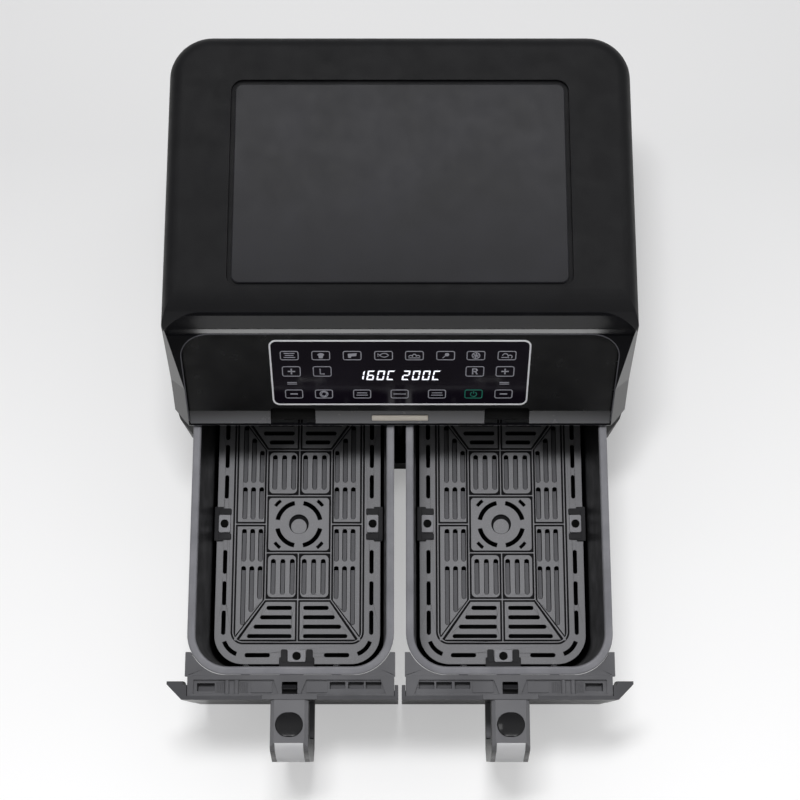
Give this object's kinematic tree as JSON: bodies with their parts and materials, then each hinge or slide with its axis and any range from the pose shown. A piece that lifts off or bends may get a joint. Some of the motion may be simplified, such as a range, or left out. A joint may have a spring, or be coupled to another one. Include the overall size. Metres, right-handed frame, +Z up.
{
  "type": "air fryer",
  "caption": "Twin-basket air fryer with a sloping touch panel and drawers on slides, each with a basket, crisper plate and latched handle.",
  "frame": {"origin": "centre of the whole model in plan, on the table plane under the rubber feet", "axes": "+X across the front to the right as the user faces it, +Y from the handles to the rear wall, +Z up"},
  "size_m": [0.385, 0.603, 0.262],
  "materials": {
    "housing_plastic": "fine matt texture, black",
    "panel_plastic": "satin black",
    "surround_gloss": "piano black",
    "fascia_plastic": "semi-gloss black",
    "control_glass": "smoked touch glass, backed black",
    "bright_trim": "satin silver",
    "base_plastic": "matt black",
    "rubber": "moulded",
    "circuit_board": "solder mask green",
    "sheet_steel": "aluminised sheet",
    "heater_steel": "heat-tinted steel tube",
    "motor_steel": "zinc plated",
    "screw_steel": "bright",
    "fan_plastic": "moulded",
    "switch_plastic": "moulded",
    "plunger_plastic": "moulded white",
    "basket_coating": "non-stick coating, satin",
    "frame_plastic": "moulded dark grey",
    "front_plastic": "semi-gloss black",
    "handle_plastic": "semi-gloss black",
    "button_plastic": "satin black",
    "spring_steel": "bright",
    "plate_coating": "non-stick coating, satin",
    "silicone": "moulded"
  },
  "bodies": {
    "housing": {"base_tray": "base_plastic", "rubber_feet": "rubber", "housing_shell": "housing_plastic", "top_panel": "panel_plastic", "front_surround": "surround_gloss", "fascia": "fascia_plastic", "control_glass": "control_glass", "glass_bezel": "bright_trim", "display_board": "circuit_board", "power_board": "circuit_board", "rear_cover": "base_plastic", "cord_gland": "rubber", "cover_screws": "screw_steel", "base_screws": "screw_steel", "temperature_probes": "screw_steel", "chamber_liner_left": "sheet_steel", "heating_coil_left": "heater_steel", "coil_guard_left": "screw_steel", "fan_motor_left": "motor_steel", "drawer_switch_left": "switch_plastic", "chamber_liner_right": "sheet_steel", "heating_coil_right": "heater_steel", "coil_guard_right": "screw_steel", "fan_motor_right": "motor_steel", "drawer_switch_right": "switch_plastic"},
    "fan_left": {"motor_shaft_left": "screw_steel", "hot_fan_left": "sheet_steel", "cooling_fan_left": "fan_plastic"},
    "plunger_left": {"switch_plunger_left": "plunger_plastic"},
    "drawer_left": {"basket_left": "basket_coating", "drawer_frame_left": "frame_plastic", "drawer_front_left": "front_plastic", "handle_left": "handle_plastic", "handle_trim_left": "bright_trim", "basket_screws_left": "screw_steel", "button_spring_left": "spring_steel"},
    "release_left": {"release_button_left": "button_plastic", "latch_slider_left": "switch_plastic"},
    "plate_left": {"crisper_plate_left": "plate_coating", "plate_bumpers_left": "silicone"},
    "fan_right": {"motor_shaft_right": "screw_steel", "hot_fan_right": "sheet_steel", "cooling_fan_right": "fan_plastic"},
    "plunger_right": {"switch_plunger_right": "plunger_plastic"},
    "drawer_right": {"basket_right": "basket_coating", "drawer_frame_right": "frame_plastic", "drawer_front_right": "front_plastic", "handle_right": "handle_plastic", "handle_trim_right": "bright_trim", "basket_screws_right": "screw_steel", "button_spring_right": "spring_steel"},
    "release_right": {"release_button_right": "button_plastic", "latch_slider_right": "switch_plastic"},
    "plate_right": {"crisper_plate_right": "plate_coating", "plate_bumpers_right": "silicone"}
  },
  "joints": [
    {"name": "fan_spin_left", "type": "hinge", "parent": "housing", "child": "fan_left", "pos_m": [-0.091, 0.1365, 0.196], "axis": [0, 0, 1], "continuous": true},
    {"name": "drawer_slide_left", "type": "slide", "parent": "housing", "child": "drawer_left", "axis": [0, 1, 0], "range_m": [0, 0.23]},
    {"name": "plate_lift_left", "type": "slide", "parent": "drawer_left", "child": "plate_left", "axis": [0, 0, 1], "range_m": [0, 0.082]},
    {"name": "release_press_left", "type": "slide", "parent": "drawer_left", "child": "release_left", "axis": [0, 0, -1], "range_m": [0, 0.003], "stiffness_N_per_m": 1500, "springref_m": -0.001, "deforming": ["button_spring_left"]},
    {"name": "switch_press_left", "type": "slide", "parent": "housing", "child": "plunger_left", "axis": [0, 1, 0], "range_m": [0, 0.0015], "stiffness_N_per_m": 300, "springref_m": -0.001},
    {"name": "fan_spin_right", "type": "hinge", "parent": "housing", "child": "fan_right", "pos_m": [0.091, 0.1365, 0.196], "axis": [0, 0, 1], "continuous": true},
    {"name": "drawer_slide_right", "type": "slide", "parent": "housing", "child": "drawer_right", "axis": [0, 1, 0], "range_m": [0, 0.23]},
    {"name": "plate_lift_right", "type": "slide", "parent": "drawer_right", "child": "plate_right", "axis": [0, 0, 1], "range_m": [0, 0.082]},
    {"name": "release_press_right", "type": "slide", "parent": "drawer_right", "child": "release_right", "axis": [0, 0, -1], "range_m": [0, 0.003], "stiffness_N_per_m": 1500, "springref_m": -0.001, "deforming": ["button_spring_right"]},
    {"name": "switch_press_right", "type": "slide", "parent": "housing", "child": "plunger_right", "axis": [0, 1, 0], "range_m": [0, 0.0015], "stiffness_N_per_m": 300, "springref_m": -0.001}
  ]
}
